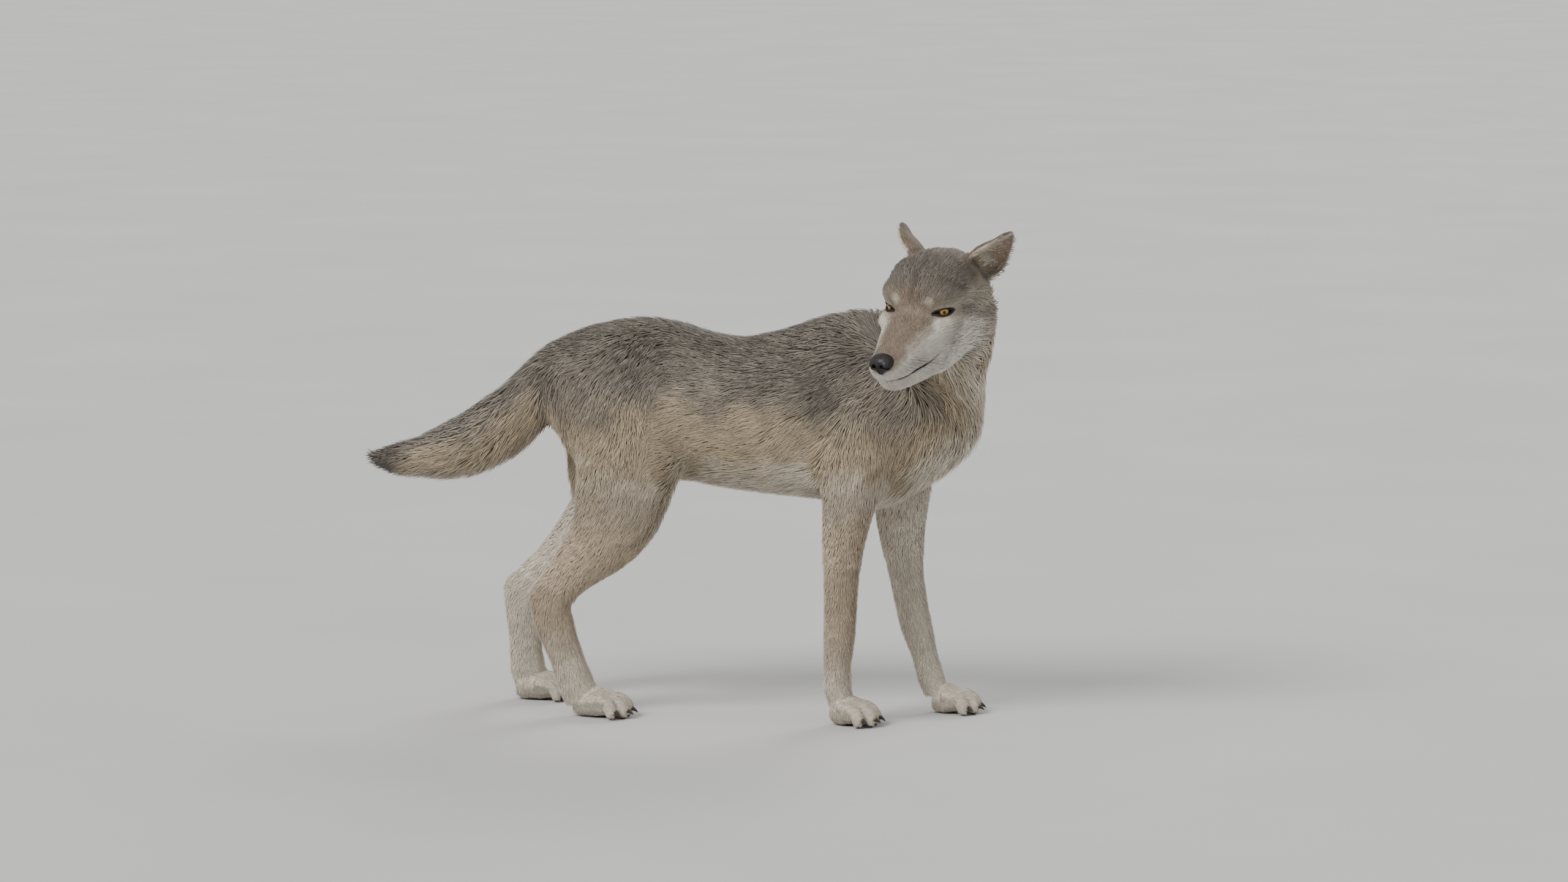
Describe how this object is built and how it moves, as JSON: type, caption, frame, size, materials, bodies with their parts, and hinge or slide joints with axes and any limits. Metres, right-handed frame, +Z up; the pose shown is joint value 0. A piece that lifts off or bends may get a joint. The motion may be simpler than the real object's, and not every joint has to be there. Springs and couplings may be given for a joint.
{
  "type": "standing wolf model",
  "caption": "Life-size still model of a grey wolf standing on all fours, head turned back over its right shoulder, tail hanging low, mouth closed.",
  "frame": {"origin": "on the floor, at the middle of the model's bounding box seen from above", "axes": "+X the way the trunk faces, +Y the wolf's left side, +Z up"},
  "size_m": [1.2966, 0.4602, 0.9657],
  "materials": {
    "grey_fur": "dense double coat, grizzled grey over buff",
    "pale_fur": "short dense coat, cream to pale tawny",
    "nose_leather": "moist, pebbled, black",
    "amber_eye": "wet, amber iris with a round black pupil",
    "horn": "worn dark horn"
  },
  "bodies": {
    "root": {"head": "grey_fur", "neck": "grey_fur", "trunk": "grey_fur", "tail": "grey_fur", "ear_left": "grey_fur", "ear_right": "grey_fur", "jaw": "pale_fur", "leg_front_left": "pale_fur", "leg_front_right": "pale_fur", "leg_hind_left": "pale_fur", "leg_hind_right": "pale_fur", "paw_front_left": "pale_fur", "paw_front_right": "pale_fur", "paw_hind_left": "pale_fur", "paw_hind_right": "pale_fur", "nose": "nose_leather", "eye_left": "amber_eye", "eye_right": "amber_eye", "claw_front_left_1": "horn", "claw_front_left_2": "horn", "claw_front_left_3": "horn", "claw_front_left_4": "horn", "claw_front_right_1": "horn", "claw_front_right_2": "horn", "claw_front_right_3": "horn", "claw_front_right_4": "horn", "claw_hind_left_1": "horn", "claw_hind_left_2": "horn", "claw_hind_left_3": "horn", "claw_hind_left_4": "horn", "claw_hind_right_1": "horn", "claw_hind_right_2": "horn", "claw_hind_right_3": "horn", "claw_hind_right_4": "horn"}
  },
  "joints": []
}
